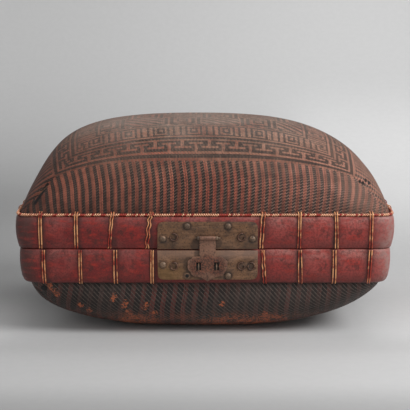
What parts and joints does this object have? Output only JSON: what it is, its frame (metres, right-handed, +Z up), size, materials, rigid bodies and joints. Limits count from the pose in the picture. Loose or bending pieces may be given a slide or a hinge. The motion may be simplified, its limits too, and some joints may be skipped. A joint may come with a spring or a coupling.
{
  "type": "woven bamboo box",
  "caption": "Pillow-shaped woven box with a hinged domed lid, banded rims, corded lacing and a hasp with padlock staples.",
  "frame": {"origin": "centre of the flat underside, on the surface the box stands on", "axes": "+X along the width to the right seen from the front, +Y from the front to the back, +Z up"},
  "size_m": [0.453, 0.3485, 0.2515],
  "materials": {
    "lid_weave": "fine bamboo weave, red-brown and grey-black splints, dusty satin",
    "base_weave": "fine bamboo weave, dark and worn, satin",
    "red_lacquer": "deep red lacquer, worn gloss",
    "plain_bamboo": "bare bamboo, matt",
    "rattan": "split rattan, satin",
    "aged_brass": "brown patina, satin",
    "hasp_brass": "red-brown patina, satin"
  },
  "bodies": {
    "base": {"base_shell": "base_weave", "base_outer_band": "red_lacquer", "base_inner_hoop": "plain_bamboo", "base_lacing": "rattan", "lock_plate_lower": "aged_brass", "lock_staple_left": "aged_brass", "lock_staple_right": "aged_brass", "lock_nail_lower_left": "aged_brass", "lock_nail_lower_bottom_left": "aged_brass", "lock_nail_lower_bottom_right": "aged_brass", "lock_curl_lower_left": "aged_brass", "lock_curl_lower_right": "aged_brass", "lock_curl_lower_far_right": "aged_brass", "hinge_left_base_leaf": "aged_brass", "hinge_left_pin": "aged_brass", "hinge_left_base_nail_a": "aged_brass", "hinge_left_base_nail_b": "aged_brass", "hinge_right_base_leaf": "aged_brass", "hinge_right_pin": "aged_brass", "hinge_right_base_nail_a": "aged_brass", "hinge_right_base_nail_b": "aged_brass"},
    "lid": {"lid_shell": "lid_weave", "lid_outer_band": "red_lacquer", "lid_inner_hoop": "plain_bamboo", "lid_trim_cord": "rattan", "lid_lacing": "rattan", "lock_plate_upper": "aged_brass", "hasp_pin": "aged_brass", "hasp_eye_left": "aged_brass", "hasp_eye_right": "aged_brass", "lock_nail_upper_left": "aged_brass", "lock_nail_upper_top_left": "aged_brass", "lock_nail_upper_top_right": "aged_brass", "lock_nail_upper_right": "aged_brass", "lock_curl_upper_left": "aged_brass", "lock_curl_upper_right": "aged_brass", "hinge_left_lid_leaf": "aged_brass", "hinge_left_lid_nail_a": "aged_brass", "hinge_left_lid_nail_b": "aged_brass", "hinge_right_lid_leaf": "aged_brass", "hinge_right_lid_nail_a": "aged_brass", "hinge_right_lid_nail_b": "aged_brass"},
    "hasp": {"hasp": "hasp_brass"}
  },
  "joints": [
    {"name": "lid_hinge", "type": "hinge", "parent": "base", "child": "lid", "pos_m": [0, 0.16815, 0.11], "axis": [-1, 0, 0], "range_deg": [0, 150]},
    {"name": "hasp_hinge", "type": "hinge", "parent": "lid", "child": "hasp", "pos_m": [0.003, -0.16935, 0.1244], "axis": [-1, 0, 0], "range_deg": [0, 165]}
  ]
}
